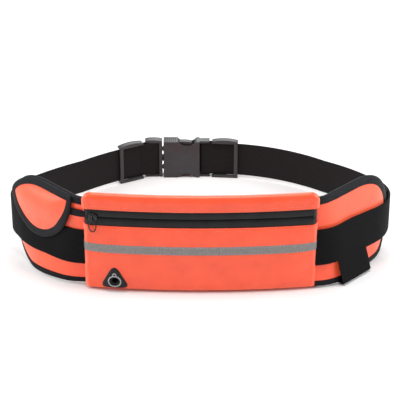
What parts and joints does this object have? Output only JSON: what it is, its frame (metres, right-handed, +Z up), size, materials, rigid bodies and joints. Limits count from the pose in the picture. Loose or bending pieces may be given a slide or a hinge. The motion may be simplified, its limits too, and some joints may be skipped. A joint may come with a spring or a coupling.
{
  "type": "waist pack",
  "caption": "Slim running waist pack: zipped neoprene pouch with a cord port, padded wings, a flap pocket, a bottle strap and an adjustable belt with a side-release buckle.",
  "frame": {"origin": "on the surface that the pack stands on, below the middle of its bounding box", "axes": "+Z up; the pouch's front faces -Y, the buckle is at the back towards +Y; +X is to the right when looking at the front"},
  "size_m": [0.3836, 0.2468, 0.106],
  "materials": {
    "neoprene": "knit-faced foam, fluorescent orange-red, soft sheen",
    "binding": "folded woven binding, satin",
    "elastic": "ribbed elastic, matt",
    "webbing": "flat woven webbing with fine cross ribs, matt",
    "zip_tape": "coated water-resistant tape, satin",
    "zip_teeth": "moulded coil",
    "zip_metal": "black lacquer, satin",
    "reflective": "grey glass-bead reflective tape",
    "port_rubber": "moulded, matt",
    "port_ring": "light grey raised moulding",
    "hook_and_loop": "hook and loop pile",
    "buckle_plastic": "moulded acetal, dark grey, satin"
  },
  "bodies": {
    "root": {"pouch_back_panel": "neoprene", "pouch_front_panel": "neoprene", "pouch_top_panel": "neoprene", "zip_tape_lower": "zip_tape", "zip_tape_upper": "zip_tape", "zip_teeth_lower": "zip_teeth", "zip_teeth_upper": "zip_teeth", "zip_start_stop": "zip_metal", "zip_end_stop": "zip_metal", "reflective_strip": "reflective", "cord_port_patch": "port_rubber", "cord_port_ring": "port_ring", "left_wing_panel": "neoprene", "left_wing_binding": "binding", "right_wing_panel": "neoprene", "right_wing_binding": "binding", "left_elastic_band": "elastic", "right_elastic_band": "elastic", "left_webbing": "webbing", "right_webbing": "webbing", "left_pocket_panel": "neoprene", "pocket_binding": "binding", "pocket_loop_patch": "hook_and_loop", "bottle_strap": "elastic", "buckle_housing": "buckle_plastic", "right_webbing_loop": "webbing", "right_webbing_tail": "webbing"},
    "zip_slider": {"zip_slider": "zip_metal"},
    "zip_pull": {"zip_pull": "zip_metal"},
    "flap": {"pocket_flap": "neoprene", "flap_binding": "binding", "flap_hook_patch": "hook_and_loop"},
    "buckle_male": {"buckle_male_frame": "buckle_plastic", "left_webbing_loop": "webbing", "left_webbing_tail": "webbing"},
    "prong_upper": {"buckle_prong_upper": "buckle_plastic"},
    "prong_lower": {"buckle_prong_lower": "buckle_plastic"},
    "left_adjuster": {"left_adjuster": "buckle_plastic"},
    "right_adjuster": {"right_adjuster": "buckle_plastic"}
  },
  "joints": [
    {"name": "zip_slide", "type": "hinge", "parent": "root", "child": "zip_slider", "pos_m": [0, 0.697, 0.0812], "axis": [0, 0, 1], "range_deg": [0, 14.3]},
    {"name": "zip_pull_swing", "type": "hinge", "parent": "zip_slider", "child": "zip_pull", "pos_m": [-0.10305, -0.11872, 0.0803], "axis": [-0.9921, 0.1253, 0], "range_deg": [0, 150]},
    {"name": "flap_lift", "type": "hinge", "parent": "root", "child": "flap", "pos_m": [-0.16123, -0.07355, 0.0962], "axis": [-0.7071, 0.7071, 0], "range_deg": [0, 150]},
    {"name": "buckle_release", "type": "slide", "parent": "root", "child": "buckle_male", "axis": [-1, 0, 0], "range_m": [0, 0.036], "deforming": ["left_webbing"]},
    {"name": "upper_prong_press", "type": "hinge", "parent": "buckle_male", "child": "prong_upper", "pos_m": [-0.03985, 0.1172, 0.03275], "axis": [0, 1, 0], "range_deg": [0, 7], "stiffness_Nm_per_rad": 0.05},
    {"name": "lower_prong_press", "type": "hinge", "parent": "buckle_male", "child": "prong_lower", "pos_m": [-0.03985, 0.1172, 0.01075], "axis": [0, -1, 0], "range_deg": [0, 7], "stiffness_Nm_per_rad": 0.05},
    {"name": "right_adjuster_slide", "type": "hinge", "parent": "root", "child": "right_adjuster", "pos_m": [0.012, -0.07886, 0.022], "axis": [0, 0, -1], "range_deg": [0, 11.8], "deforming": ["right_webbing_tail"]},
    {"name": "left_adjuster_slide", "type": "hinge", "parent": "buckle_male", "child": "left_adjuster", "pos_m": [0.06043, -0.16176, 0.022], "axis": [0, 0, 1], "range_deg": [0, 7.6], "deforming": ["left_webbing_tail"]}
  ]
}
